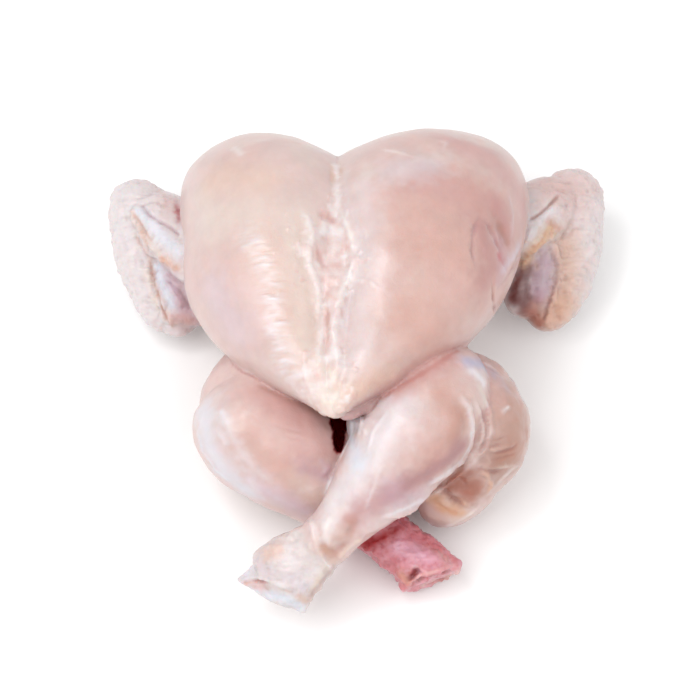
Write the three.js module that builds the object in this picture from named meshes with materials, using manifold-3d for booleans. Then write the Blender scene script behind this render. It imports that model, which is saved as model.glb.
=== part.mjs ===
// A whole raw chicken, skinned apart from its wings and the ends of its legs. It lies on its back with its
// wings akimbo and its drumsticks crossed. Millimetres: +Z is up, +Y points to the neck end, and the bird rests
// on the plane z = 0. Left is -X and right is +X, as someone sees them who looks from the tail to the neck.
import * as THREE from 'three';
import { mergeVertices } from 'three/addons/utils/BufferGeometryUtils.js';
import Module from 'manifold-3d';

const wasm = await Module();
wasm.setup();

const at = (x, y, z) => new THREE.Vector3(x, y, z);
const SIDEWAYS = at(1, 0, 0);
const TAILWARD = at(0, -1, 0);

// The bird has rolled a little: its keel leans to the left and the right lobe of its breast stands higher.
const KEEL_X = -8;
const RIGHT_LOBE_LIFT = 3;

// The breast from the neck end to the tip of the keel: where along the bird, how far the left and the right lobe
// reach from the keel, how far each runs past the keel into the other, the height of its middle, its half depth.
const BREAST = [
  { y: 99, left: 74, right: 90, past: 0, middle: 57, depth: 32 },
  { y: 76, left: 74, right: 88, past: 16, middle: 57, depth: 43 },
  { y: 48, left: 67, right: 82, past: 22, middle: 58.5, depth: 46 },
  { y: 20, left: 65, right: 73, past: 18, middle: 63, depth: 39 },
  { y: -8, left: 52, right: 56, past: 9, middle: 69, depth: 26 },
  { y: -30, left: 31, right: 32, past: 6, middle: 75, depth: 15.5 },
  { y: -50, left: 8, right: 7, past: 6, middle: 80, depth: 4 },
];

// The strip of fat over the keel bone: [place along the bird, height of its middle, half width].
const KEEL_FAT = [[84, 68, 4], [60, 89, 7], [25, 92, 9], [-15, 85.5, 8], [-50, 79.5, 7]];
const KEEL_FAT_DEPTH = 7;

// [half width, half depth] of a leg from the knee to the ankle, and of a thigh from the hip to the knee.
const CALF_SIZES = [[11, 12], [20.5, 21], [23, 23.5], [22.5, 23], [18, 18.5], [12.5, 12.5]];
const THIGH_SIZES = [[13, 13], [19, 23], [25, 28], [19, 24]];

// How far a folded wing sticks out past the elbow towards the neck, and how far its forearm bows outward.
const WING_POINT = 9;
const FOREARM_BOW = 4;

const FLOOR = { size: 400, depth: 40 };
const BLOCK = 60;
const FLESH = { color: 0xe9cdc6, roughness: 0.35, metalness: 0 };

/** A closed three.js geometry as a solid that can be joined and cut. */
function solid(geometry) {
  geometry.deleteAttribute('normal');
  geometry.deleteAttribute('uv');
  const merged = mergeVertices(geometry, 1e-4);
  return new wasm.Manifold(new wasm.Mesh({
    numProp: 3,
    vertProperties: new Float32Array(merged.getAttribute('position').array),
    triVerts: new Uint32Array(merged.index.array),
  }));
}

/**
 * A rounded mass of flesh: a sphere drawn out along a curve through the points of `spine`.
 * `sizes` are its [half width, half depth] along the way and `across` is the way the width is measured.
 * Its sections stand square to the curve, or to `facing` where that is given.
 * A higher `blunt` keeps the mass full up to its two ends.
 */
function flesh({ spine, sizes, across = SIDEWAYS, facing, blunt = 4, segments = 20, rings = 14 }) {
  const path = new THREE.CatmullRomCurve3(spine, false, 'catmullrom');
  const swell = new THREE.CatmullRomCurve3(sizes.map(([width, depth]) => at(width, depth, 0)), false, 'catmullrom');
  const geometry = new THREE.SphereGeometry(1, segments, rings);
  const position = geometry.getAttribute('position');
  const v = at(0, 0, 0);
  for (let i = 0; i < position.count; i++) {
    v.fromBufferAttribute(position, i);
    const t = THREE.MathUtils.clamp((1 - v.y) / 2, 0, 1);
    const radius = Math.hypot(v.x, v.z);
    const fullness = radius > 1e-6 ? Math.sqrt(1 - Math.abs(v.y) ** blunt) / radius : 0;
    const way = facing ?? path.getTangent(t);
    const side = across.clone().addScaledVector(way, -across.dot(way)).normalize();
    const up = way.clone().cross(side);
    const size = swell.getPoint(t).multiplyScalar(fullness);
    const point = path.getPoint(t).addScaledVector(side, v.x * size.x).addScaledVector(up, v.z * size.y);
    position.setXYZ(i, point.x, point.y, point.z);
  }
  return solid(geometry);
}

/** Rib cage, back and pelvis, with the stump of the neck. */
function trunk() {
  const body = flesh({
    spine: [at(0, -66, 22), at(0, -36, 28), at(0, 4, 34), at(0, 48, 38), at(0, 88, 42)],
    sizes: [[24, 16], [36, 28], [44, 36], [58, 39], [42, 30]],
    segments: 28,
  });
  const neck = flesh({ spine: [at(-3, 70, 38), at(-3, 95, 37)], sizes: [[10, 10], [9, 9]], segments: 14, rings: 8 });
  return body.add(neck);
}

/** The hollow of the belly, open to the tail between the keel and the back. */
function bellyHollow() {
  return flesh({
    spine: [at(-8, -84, 48), at(-8, -50, 43), at(-4, 0, 46), at(-3, 56, 46)],
    sizes: [[20, 20], [24, 22], [29, 26], [22, 20]],
  });
}

/** One lobe of the breast: side -1 is the left one, side 1 the right one. */
function breastLobe(side) {
  const reach = (row) => (side < 0 ? row.left : row.right);
  const lift = side < 0 ? 0 : RIGHT_LOBE_LIFT;
  return flesh({
    spine: BREAST.map((row) => at(KEEL_X + side * (reach(row) - row.past) / 2, row.y, row.middle + lift)),
    sizes: BREAST.map((row) => [(reach(row) + row.past) / 2, row.depth]),
    facing: TAILWARD,
    segments: 28,
    rings: 24,
  });
}

/** The strip of fat that fills the groove over the keel bone. */
function keelFat() {
  return flesh({
    spine: KEEL_FAT.map(([y, z]) => at(KEEL_X, y, z)),
    sizes: KEEL_FAT.map(([, , width]) => [width, KEEL_FAT_DEPTH]),
    facing: TAILWARD,
    segments: 14,
    rings: 18,
  });
}

/** A thigh, from the hip up to the knee. */
const thigh = (spine) => flesh({ spine, sizes: THIGH_SIZES, segments: 22 });

/** A drumstick through knee, calf, ankle and end; `end` are the sizes below the ankle, `plump` swells the calf. */
function drumstick({ spine, across, end, plump = 1 }) {
  const calf = CALF_SIZES.map(([width, depth]) => [width * plump, depth * plump]);
  return flesh({ spine, sizes: [...calf, ...end], across, blunt: 14, segments: 22, rings: 28 });
}

/** What lies beyond the plane through `point` that faces the way `out`. */
function beyond(point, out) {
  const block = new THREE.BoxGeometry(BLOCK, BLOCK, BLOCK).translate(0, 0, BLOCK / 2);
  block.applyQuaternion(new THREE.Quaternion().setFromUnitVectors(at(0, 0, 1), out.normalize()));
  return solid(block.translate(point.x, point.y, point.z));
}

/** A wing folded back on itself, with the skin that spans the fold. */
function wing({ shoulder, elbow, wrist, tip }) {
  const between = (a, b, share) => a.clone().lerp(b, share);
  const point = elbow.clone().add(at(0, WING_POINT, 0));
  const bow = between(elbow, wrist, 0.42).add(at(FOREARM_BOW * Math.sign(elbow.x), 0, 0));
  const upperArm = { spine: [shoulder, elbow], sizes: [[18, 15], [14, 13]], segments: 16, rings: 10 };
  const forearm = { spine: [point, elbow, bow, wrist], sizes: [[9, 9], [14, 13], [12, 11], [10, 9]], segments: 16 };
  const hand = { spine: [wrist, tip], sizes: [[9, 7], [8, 5]], segments: 12, rings: 8 };
  const web = {
    spine: [between(shoulder, elbow, 0.55), between(shoulder, wrist, 0.58), between(wrist, tip, 0.3)],
    sizes: [[14, 6], [13, 5], [11, 5]],
    segments: 14,
    rings: 8,
  };
  return wasm.Manifold.union([upperArm, forearm, hand, web].map(flesh));
}

/** Both legs, the right one crossed over the left, with the loose skin at the end of the right one. */
function legs() {
  return wasm.Manifold.union([
    thigh([at(-30, -56, 20), at(-38, -40, 26), at(-43, -22, 34), at(-42, 6, 44)]),
    thigh([at(32, -69, 20), at(42, -51, 26), at(49.5, -31, 37), at(41.5, -2, 49)]),
    drumstick({
      spine: [at(-68, -29.5, 48), at(-31, -43, 39.5), at(5, -68.5, 18.5), at(38.5, -97, 11)],
      across: at(0.588, 0.7, 0.405),
      end: [[11.5, 11], [13, 10], [14.5, 9.5]],
      plump: 1.15,
    }).subtract(beyond(at(35, -91.5, 12), at(0.33, -0.94, -0.1))),
    drumstick({
      spine: [at(48, -7, 57), at(22.5, -46.5, 57), at(-8, -83, 43), at(-37.5, -103, 27)],
      across: at(0.775, -0.549, -0.317),
      end: [[11.5, 10], [14.5, 8.5], [18, 7.5]],
    }),
    flesh({
      spine: [at(-31, -98, 29), at(-36, -107, 24)],
      sizes: [[13, 5], [17.5, 3]],
      across: at(0.93, -0.37, 0), blunt: 14, segments: 16, rings: 12,
    }),
  ]);
}

function wings() {
  return wasm.Manifold.union([
    wing({ shoulder: at(-60, 44, 40), elbow: at(-98, 86, 31), wrist: at(-86, 28, 16), tip: at(-64, 52, 12) }),
    wing({ shoulder: at(60, 60, 42), elbow: at(98, 90, 33), wrist: at(90, 30, 18), tip: at(73, 54, 12) }),
  ]);
}

/** The solid as a three.js geometry, moved so that it stands on z = 0 about the middle of its box. */
function standing(form) {
  const { vertProperties, triVerts } = form.getMesh();
  const geometry = new THREE.BufferGeometry()
    .setAttribute('position', new THREE.BufferAttribute(new Float32Array(vertProperties), 3))
    .setIndex(new THREE.BufferAttribute(new Uint32Array(triVerts), 1));
  geometry.computeBoundingBox();
  const middle = geometry.boundingBox.getCenter(at(0, 0, 0));
  return geometry.translate(-middle.x, -middle.y, -geometry.boundingBox.min.z);
}

const floor = solid(new THREE.BoxGeometry(FLOOR.size, FLOOR.size, FLOOR.depth).translate(0, 0, -FLOOR.depth / 2));
const body = wasm.Manifold.union([trunk(), breastLobe(-1), breastLobe(1), keelFat()]).subtract(bellyHollow());
const bird = wasm.Manifold.union([body, legs(), wings()]).subtract(floor);

const chicken = new THREE.Mesh(standing(bird), new THREE.MeshStandardMaterial(FLESH));
chicken.name = 'chicken';

const part = new THREE.Group();
part.add(chicken);

export default part;
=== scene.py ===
"""The looks of a whole raw chicken: the forms of its solid are built finer, sculpted, painted and lit."""
import math
from collections import namedtuple

import bpy
import numpy as np
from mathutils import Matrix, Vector
from mathutils.bvhtree import BVHTree
from mathutils.kdtree import KDTree


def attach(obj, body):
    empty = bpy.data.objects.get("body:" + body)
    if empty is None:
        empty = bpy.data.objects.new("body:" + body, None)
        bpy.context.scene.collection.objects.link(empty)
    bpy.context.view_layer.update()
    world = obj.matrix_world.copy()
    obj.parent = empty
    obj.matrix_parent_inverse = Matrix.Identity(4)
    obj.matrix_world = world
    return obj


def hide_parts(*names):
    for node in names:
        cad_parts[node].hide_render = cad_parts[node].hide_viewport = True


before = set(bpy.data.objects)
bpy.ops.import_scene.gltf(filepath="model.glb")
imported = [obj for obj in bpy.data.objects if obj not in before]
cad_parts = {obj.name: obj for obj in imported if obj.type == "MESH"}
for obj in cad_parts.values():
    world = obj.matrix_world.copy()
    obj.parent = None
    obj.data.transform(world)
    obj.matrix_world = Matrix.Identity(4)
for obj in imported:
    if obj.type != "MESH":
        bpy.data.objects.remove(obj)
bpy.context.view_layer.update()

# Lengths are in millimetres up to the last step, `to_metres`. Left is -X and right is +X, as someone sees
# them who looks from the tail (-Y) to the neck (+Y).
MM = 0.001
FINENESS = 0.7  # side of a face of the finished surface

# The picture's camera. Marks on the bird are placed by the pixels of the picture that it takes.
PICTURE = 700
PIXEL_MM = 0.43  # at the distance of the target
TARGET = np.array([-3.1, 6.04, 50.0])
ELEVATION = math.radians(60)
DISTANCE = 1100.0
SENSOR_MM = 36
BACK = np.array([0, -math.cos(ELEVATION), math.sin(ELEVATION)])
RIGHT = np.array([1.0, 0, 0])
UP = np.cross(BACK, RIGHT)

# ---- the forms of the flesh

# As in the solid, apart from the keel film, the slit into the belly, and the lip's slant and width.

KEEL_X = -8
RIGHT_LOBE_LIFT = 3
Row = namedtuple("Row", "y left right past middle depth")
BREAST = [
    Row(99, 74, 90, 0, 57, 32),
    Row(76, 74, 88, 16, 57, 43),
    Row(48, 67, 82, 22, 58.5, 46),
    Row(20, 65, 73, 18, 63, 39),
    Row(-8, 52, 56, 9, 69, 26),
    Row(-30, 31, 32, 6, 75, 15.5),
    Row(-50, 8, 7, 6, 80, 4),
]
KEEL_FAT = [(84, 68, 4), (60, 89, 7), (25, 92, 9), (-15, 85.5, 8), (-50, 79.5, 7)]  # y, z, half width
KEEL_FAT_DEPTH = 7
CALF_SIZES = [(11, 12), (20.5, 21), (23, 23.5), (22.5, 23), (18, 18.5), (12.5, 12.5)]
THIGH_SIZES = [(13, 13), (19, 23), (25, 28), (19, 24)]
WING_POINT = 9
FOREARM_BOW = 4
SIDEWAYS = np.array([1.0, 0, 0])
TAILWARD = np.array([0, -1.0, 0])
STANDING = np.array([-0.1, 7.41, 0])  # from where the forms are drawn to where the solid stands


def spline(points, t):
    """Points at `t`, from 0 to 1, of a uniform Catmull-Rom curve."""
    points = np.asarray(points, float)
    ends = [2 * points[0] - points[1], 2 * points[-1] - points[-2]]
    padded = np.vstack([ends[0], points, ends[1]])
    place = np.clip(t, 0, 1) * (len(points) - 1)
    i = np.minimum(place.astype(int), len(points) - 2)
    w = (place - i)[:, None]
    a, b, c, d = (padded[i + k] for k in range(4))
    slope_b, slope_c = (c - a) / 2, (d - b) / 2
    square = 3 * (c - b) - 2 * slope_b - slope_c
    cube = 2 * (b - c) + slope_b + slope_c
    return b + slope_b * w + square * w**2 + cube * w**3


def unit(v):
    return v / np.maximum(np.linalg.norm(v, axis=-1, keepdims=True), 1e-9)


Form = namedtuple("Form", "name points faces stations outward")


def flesh(name, spine, sizes, across=SIDEWAYS, facing=None, blunt=4, around=72, rings=80):
    """A rounded mass drawn out along `spine`; `sizes` are its [half width, half depth] along the way."""
    polar = np.linspace(0, math.pi, rings + 1)[1:-1]
    height = np.cos(polar)
    t = np.concatenate([[0], (1 - height) / 2, [1]])
    fullness = np.sqrt(1 - np.abs(np.concatenate([[1], height, [1]])) ** blunt)
    middle = spline(spine, t)
    step = 1e-4
    way = unit(spline(spine, np.minimum(t + step, 1)) - spline(spine, np.maximum(t - step, 0)))
    if facing is not None:
        way = np.broadcast_to(facing, way.shape)
    side = unit(across - way * (way @ np.asarray(across, float))[:, None])
    up = np.cross(way, side)
    size = spline(sizes, t) * fullness[:, None]
    angle = np.linspace(0, 2 * math.pi, around, endpoint=False)
    ring = (
        middle[:, None]
        + side[:, None] * (size[:, :1] * -np.cos(angle))[:, :, None]
        + up[:, None] * (size[:, 1:] * np.sin(angle))[:, :, None]
    )
    points = np.vstack([middle[:1], ring[1:-1].reshape(-1, 3), middle[-1:]])
    stations = np.concatenate([[0], np.repeat(t[1:-1], around), [1]])
    axis = np.vstack([middle[:1] + way[:1], np.repeat(middle[1:-1], around, 0), middle[-1:] - way[-1:]])
    return Form(name, points, ring_faces(around, rings), stations, unit(points - axis))


def ring_faces(around, rings):
    """The faces between a first point, rings of points and a last point."""

    def ring(k, turn=0):
        return (1 + k * around + (np.arange(around) + turn) % around).tolist()

    last = 1 + (rings - 1) * around
    faces = [[0, a, b] for a, b in zip(ring(0), ring(0, 1))]
    for k in range(rings - 2):
        faces += map(list, zip(ring(k), ring(k + 1), ring(k + 1, 1), ring(k, 1)))
    return faces + [[b, a, last] for a, b in zip(ring(rings - 2), ring(rings - 2, 1))]


def trunk():
    return [
        flesh("trunk", [(0, -66, 22), (0, -36, 28), (0, 4, 34), (0, 48, 38), (0, 88, 42)],
              [(24, 16), (36, 28), (44, 36), (58, 39), (42, 30)]),
        flesh("neck", [(-3, 70, 38), (-3, 95, 37)], [(10, 10), (9, 9)]),
    ]


def belly_hollow():
    return flesh("hollow", [(-8, -84, 48), (-8, -50, 43), (-4, 0, 46), (-3, 56, 46)],
                 [(20, 20), (24, 22), (29, 26), (22, 20)])


# The narrow gap between the crossed drumsticks through which the belly shows: its axis and its half widths,
# in an upper, wider part and a lower one.
SLIT = [
    ([(-7.3, -44.8, 66), (-7.3, -19.3, 22)], (3.7, 5.5)),
    ([(-7.7, -52.7, 66), (-7.7, -27.2, 22)], (2.2, 6.5)),
]
# The top of the slit's sides is darkened with painted shade:
SLIT_RIM = 0.35  # how far down its sides are dark, as a share of its depth
SLIT_DARK = (9, 6)  # and how far from its axis, from none of it to all of it


def belly_slit():
    return [flesh("hollow slit", axis, [size, size], blunt=10) for axis, size in SLIT]


def keel_film():
    """The film of flesh that ties the tip of the keel to the right leg."""
    return flesh("keel film", [(-6, -49, 77.5), (1, -42, 73), (9, -36, 71)], [(3, 2.5), (3.8, 3), (5, 4)])


def breast_lobe(name, side):
    far = [row.left if side < 0 else row.right for row in BREAST]
    lift = 0 if side < 0 else RIGHT_LOBE_LIFT
    spine = [(KEEL_X + side * (x - row.past) / 2, row.y, row.middle + lift) for x, row in zip(far, BREAST)]
    sizes = [((x + row.past) / 2, row.depth) for x, row in zip(far, BREAST)]
    return flesh(name, spine, sizes, facing=TAILWARD, around=120, rings=120)


def keel_fat():
    spine = [(KEEL_X, y, z) for y, z, _ in KEEL_FAT]
    sizes = [(width, KEEL_FAT_DEPTH) for _, _, width in KEEL_FAT]
    return flesh("keel", spine, sizes, facing=TAILWARD)


def drumstick(name, spine, across, end, plump=1.0):
    calf = [(width * plump, depth * plump) for width, depth in CALF_SIZES]
    return flesh(name, spine, calf + end, across=across, blunt=14, around=96, rings=140)


def cut_off(form, point, out):
    """Flattens what lies beyond the plane through `point` that faces the way `out`."""
    out = unit(np.array(out, float))
    beyond = np.maximum((form.points - point) @ out, 0)
    return form._replace(points=form.points - beyond[:, None] * out)


def legs():
    return [
        flesh("left thigh", [(-30, -56, 20), (-38, -40, 26), (-43, -22, 34), (-42, 6, 44)], THIGH_SIZES),
        flesh("right thigh", [(32, -69, 20), (42, -51, 26), (49.5, -31, 37), (41.5, -2, 49)], THIGH_SIZES),
        cut_off(drumstick("left leg", [(-68, -29.5, 48), (-31, -43, 39.5), (5, -68.5, 18.5), (38.5, -97, 11)],
                          (0.588, 0.7, 0.405), [(11.5, 11), (13, 10), (14.5, 9.5)], plump=1.15),
                (35, -91.5, 12), (0.33, -0.94, -0.1)),
        drumstick("right leg", [(48, -7, 57), (22.5, -46.5, 57), (-8, -83, 43), (-37.5, -103, 27)],
                  (0.775, -0.549, -0.317), [(11.5, 10), (14.5, 8.5), (18, 7.5)]),
        flesh("lip", [(-31, -98, 29), (-36, -107, 24)], [(13, 5), (17, 3)],
              across=(0.93, -0.24, 0), blunt=14),
    ]


def between(a, b, share):
    return a + (b - a) * share


def wing(side, shoulder, elbow, wrist, tip):
    shoulder, elbow, wrist, tip = (np.array(p, float) for p in (shoulder, elbow, wrist, tip))
    point = elbow + (0, WING_POINT, 0)
    bow = between(elbow, wrist, 0.42) + (FOREARM_BOW * np.sign(elbow[0]), 0, 0)
    web = [between(shoulder, elbow, 0.55), between(shoulder, wrist, 0.58), between(wrist, tip, 0.3)]
    return [
        flesh(f"{side} upper arm", [shoulder, elbow], [(18, 15), (14, 13)]),
        flesh(f"{side} forearm", [point, elbow, bow, wrist], [(9, 9), (14, 13), (12, 11), (10, 9)]),
        flesh(f"{side} hand", [wrist, tip], [(9, 7), (8, 5)]),
        flesh(f"{side} web", web, [(14, 6), (13, 5), (11, 5)]),
    ]


def wings():
    return [
        *wing("left", (-60, 44, 40), (-98, 86, 31), (-86, 28, 16), (-64, 52, 12)),
        *wing("right", (60, 60, 42), (98, 90, 33), (90, 30, 18), (73, 54, 12)),
    ]


BODY = [*trunk(), breast_lobe("left breast", -1), breast_lobe("right breast", 1), keel_fat()]
LIMBS = [keel_film(), *legs(), *wings()]
# The hollows are cut out, so their surface faces inward.
HOLLOWS = [form._replace(outward=-form.outward) for form in (belly_hollow(), *belly_slit())]

# Words in the names of the forms of the breast and of the wings.
BREAST_WORDS = ("breast", "keel")
WING_WORDS = ("upper arm", "forearm", "hand", "web")


# ---- one surface out of the forms


def placed(data):
    """This mesh, light or camera as an object of the scene."""
    obj = bpy.data.objects.new(data.name, data)
    bpy.context.scene.collection.objects.link(obj)
    return obj


def as_object(form):
    mesh = bpy.data.meshes.new(form.name)
    mesh.from_pydata(form.points.tolist(), [], form.faces)
    return placed(mesh)


def apply_modifiers(obj):
    evaluated = obj.evaluated_get(bpy.context.evaluated_depsgraph_get())
    mesh = bpy.data.meshes.new_from_object(evaluated)
    obj.modifiers.clear()
    obj.data = mesh


def combine(obj, others, operation):
    """Joins the forms to obj or cuts them from it."""
    tools = [as_object(form) for form in others]
    for tool in tools:
        step = obj.modifiers.new("step", "BOOLEAN")
        step.operation, step.solver, step.object = operation, "MANIFOLD", tool
    apply_modifiers(obj)
    for tool in tools:
        bpy.data.objects.remove(tool)


def even_faces(obj):
    remesh = obj.modifiers.new("remesh", "REMESH")
    remesh.mode, remesh.voxel_size = "VOXEL", FINENESS
    apply_modifiers(obj)


def assemble(body, limbs, hollow, *slit):
    """The forms as one closed surface, with the hollow cut into the body and the slit through to it."""
    bird = as_object(body[0])
    combine(bird, body[1:], "UNION")
    combine(bird, [hollow], "DIFFERENCE")
    combine(bird, limbs, "UNION")
    combine(bird, slit, "DIFFERENCE")
    even_faces(bird)
    return bird


def rows(items, name, width, kind=float):
    """A property of all vertices or edges, a row of `width` numbers for each."""
    values = np.zeros(len(items) * width, kind)
    items.foreach_get(name, values)
    return values.reshape(-1, width)


# A vertex belongs to the nearest form that faces its way there: how many points of the forms it is held
# against, and the least cosine between the two directions.
CANDIDATES = 8
SAME_WAY = 0.3
BRUSH_RAGGED = 0.3  # how ragged the edge of a dab or mark is
LONG_STROKE = 8  # in half widths: a longer one runs out at its ends


class Surface:
    """The bird's surface as arrays, to sculpt and paint."""

    def __init__(self, obj, forms):
        self.obj = obj
        self.points = rows(obj.data.vertices, "co", 3)
        self.edges = rows(obj.data.edges, "vertices", 2, int)
        self.degree = np.bincount(self.edges.ravel(), minlength=len(self.points))
        self.refresh()
        self.label(forms)

    def label(self, forms):
        """Which form each vertex lies on, and where along that form's spine."""
        self.names = [form.name for form in forms]
        stations = np.concatenate([form.stations for form in forms])
        outward = np.vstack([form.outward for form in forms])
        owner = np.concatenate([[k] * len(form.points) for k, form in enumerate(forms)])
        tree = KDTree(len(owner))
        for i, p in enumerate(np.vstack([form.points for form in forms])):
            tree.insert(p, i)
        tree.balance()
        near = np.array([[i for _, i, _ in tree.find_n(p, CANDIDATES)] for p in self.points])
        agree = np.einsum("ijk,ik->ij", outward[near], self.normals) > SAME_WAY
        nearest = near[np.arange(len(near)), agree.argmax(1)]
        self.owner, self.station = owner[nearest], stations[nearest]

    def of(self, *names):
        """1 on the vertices of the forms whose names hold one of these words, else 0."""
        wanted = [k for k, name in enumerate(self.names) if any(word in name for word in names)]
        return np.isin(self.owner, wanted).astype(float)

    def softly(self, rounds, *names):
        """The same with a soft edge."""
        return self.softened(self.of(*names), rounds)

    def averaged(self, values):
        """Each vertex's mean over its neighbours."""
        columns = values.reshape(len(values), -1)
        a, b = self.edges.T
        total = [np.bincount(a, columns[b, k], len(values)) + np.bincount(b, columns[a, k], len(values))
                 for k in range(columns.shape[1])]
        return (np.array(total) / self.degree).T.reshape(values.shape)

    def softened(self, values, rounds):
        for _ in range(rounds):
            values = (values + self.averaged(values)) / 2
        return values

    def melt(self, share, rounds):
        """Smooths the form, by `share` of a full step at each vertex."""
        for _ in range(rounds):
            self.points += (self.averaged(self.points) - self.points) * share[:, None]

    def write(self):
        self.obj.data.vertices.foreach_set("co", self.points.ravel())
        self.obj.data.update()

    def refresh(self):
        """Brings the normals and the ray tree up to date with the points."""
        self.write()
        mesh = self.obj.data
        self.normals = rows(mesh.vertex_normals, "vector", 3)
        self.tree = BVHTree.FromPolygons(self.points.tolist(), [list(p.vertices) for p in mesh.polygons])

    def raise_by(self, height):
        """Moves each vertex out along its normal."""
        self.points += self.normals * height[:, None]

    def seen(self, pixel):
        """The point of the surface that the camera sees at a pixel, or the nearest one where it sees none."""
        x, y = pixel
        way = unit(-BACK * DISTANCE + (RIGHT * (x - PICTURE / 2) + UP * (PICTURE / 2 - y)) * PIXEL_MM)
        eye = TARGET + BACK * DISTANCE
        hit = self.tree.ray_cast(eye.tolist(), way.tolist())[0]
        if hit is None:
            offset = self.points - eye
            aside = np.linalg.norm(offset - (offset @ way)[:, None] * way, axis=1)
            hit = self.points[aside.argmin()]
        return np.array(hit)

    def drawn(self, pixels):
        """The line on the surface that passes these pixels."""
        return np.array([self.seen(p) for p in spread(pixels)])

    def swath(self, width, line, ragged, seed):
        """The vertices round a line, how far along it each is, and how far it belongs to it, as in `near`."""
        reach = 4 * width
        inside = (self.points > line.min(0) - reach) & (self.points < line.max(0) + reach)
        local = np.flatnonzero(inside.all(1))
        away, along = along_line(self.points[local], line)
        if ragged:
            away *= 1 + ragged * lumps(self.points[local], min(3.5, width), seed)
        return local, along, np.exp(-(away / width) ** 2)

    def near(self, width, *lines, ragged=0.0, seed=1):
        """1 on the lines, falling off to 0 at about twice `width`; `ragged` frays that edge."""
        cover = np.zeros(len(self.points))
        for line in map(self.drawn, lines):
            local, _, share = self.swath(width, line, ragged, seed)
            cover[local] = np.maximum(cover[local], share)
        return cover

    def stroke(self, width, pixels, seed):
        """1 on a line drawn lightly: frayed, fainter in places, and running out where it is long."""
        line = self.drawn(pixels)
        local, along, share = self.swath(width, line, BRUSH_RAGGED, seed)
        share *= 0.75 + 0.35 * lumps(self.points[local], 5, seed + 1)
        length = np.linalg.norm(np.diff(line, axis=0), axis=1).sum()
        if length > LONG_STROKE * width:
            share *= smooth(-1.5, 6, np.minimum(along, length - along))
        cover = np.zeros(len(self.points))
        cover[local] = share
        return cover

    def relief(self, marks):
        """The height that these marks give to each vertex."""
        return sum(height * self.stroke(width, line, seed)
                   for seed, (_, _, height, width, *line) in enumerate(marks))

    def hollowness(self):
        """Above 0 in creases and below 0 on ridges."""
        bend = np.einsum("ij,ij->i", self.averaged(self.points) - self.points, self.normals)
        return self.softened(bend, 4)


def along_line(points, line):
    """How far each point is from the line, and how far along it."""
    nearest = np.linalg.norm(points - line[0], axis=1)
    along = np.zeros(len(points))
    passed = 0
    for a, b in zip(line, line[1:]):
        length = np.linalg.norm(b - a)
        share = np.clip((points - a) @ (b - a) / max(length**2, 1e-9), 0, 1)
        away = np.linalg.norm(points - a - share[:, None] * (b - a), axis=1)
        closer = away < nearest
        nearest[closer], along[closer] = away[closer], (passed + share * length)[closer]
        passed += length
    return nearest, along


def spread(pixels, spacing=9):
    """The corners of a line with points between them, so that it follows a curved surface."""
    line = [pixels[0]]
    for a, b in zip(pixels, pixels[1:]):
        steps = max(1, round(math.dist(a, b) / spacing))
        line += [tuple(p + (q - p) * k / steps for p, q in zip(a, b)) for k in range(1, steps + 1)]
    return line


def lumps(points, size, seed, stretch=(1, 1, 1)):
    """Noise of -1 to 1, whose smooth lumps are about `size` across and drawn out by `stretch`."""
    total = np.zeros(len(points))
    for octave in range(2):
        place = points / (size * np.asarray(stretch, float)) * 2**octave + seed * 17.3
        cell = np.floor(place)
        share = place - cell
        share = share * share * (3 - 2 * share)
        for corner in np.ndindex(2, 2, 2):
            weight = np.prod(np.where(corner, share, 1 - share), axis=1)
            total += chance(cell + corner) * weight / 2**octave
    return np.clip(total * 1.3, -1, 1)


def chance(cells):
    """A number from -1 to 1 for each cell, always the same for the same cell."""
    return np.modf(np.abs(np.sin(cells @ (127.1, 311.7, 74.7)) * 43758.5453))[0] * 2 - 1


def smooth(low, high, values):
    """0 below low, 1 above high, and an even slope between."""
    t = np.clip((values - low) / (high - low), 0, 1)
    return t * t * (3 - 2 * t)


# ---- paints and marks

ALBEDO = 0.77  # the paints are as they look in the bright studio, and the shader gets this share of them
CREAM = "#f0e0d6"
PEARL = "#f6eff3"
PEACH = "#ecccbe"
APRICOT = "#e8bda6"
LILAC = "#e4d4de"
PINK = "#e8bfb8"
ROSE = "#dba9a3"
DEEP = "#dfb0a4"
TAN = "#cb9f8f"
MAUVE = "#c9a3b2"
HEATHER = "#c8c2dc"
BLUISH = "#eef0fa"
FAT = "#faf1f0"
BUTTER = "#f7e6d6"
ORANGE = "#e3ab84"
BROWN = "#c58d79"
RUSSET = "#b07560"
MAROON = "#7d3f3b"
RASPBERRY = "#d0606b"
TORN = "#f0b4c2"
BLOOD = "#a80c1a"
# blood red painted brighter than blood, as painted light in the deep shade of the belly
SCARLET = "#ff2432"
SLIT_SHADE = "#6a080e"
WINE = "#a5665c"
BRUISE = "#b98587"
DUSK = "#cf9a95"
CLAY = "#b4715e"
PLUM = "#a86a70"
SKIN = "#f4eaeb"
SLEEVE = "#e6d9d5"
RED_END = "#e8939e"
FLESH = "#e8cdc8"
KEEL_FILM = "#c08c90"
# painted shade at the joins of breast and legs
SEAM_SHADE = "#c0746c"

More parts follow.
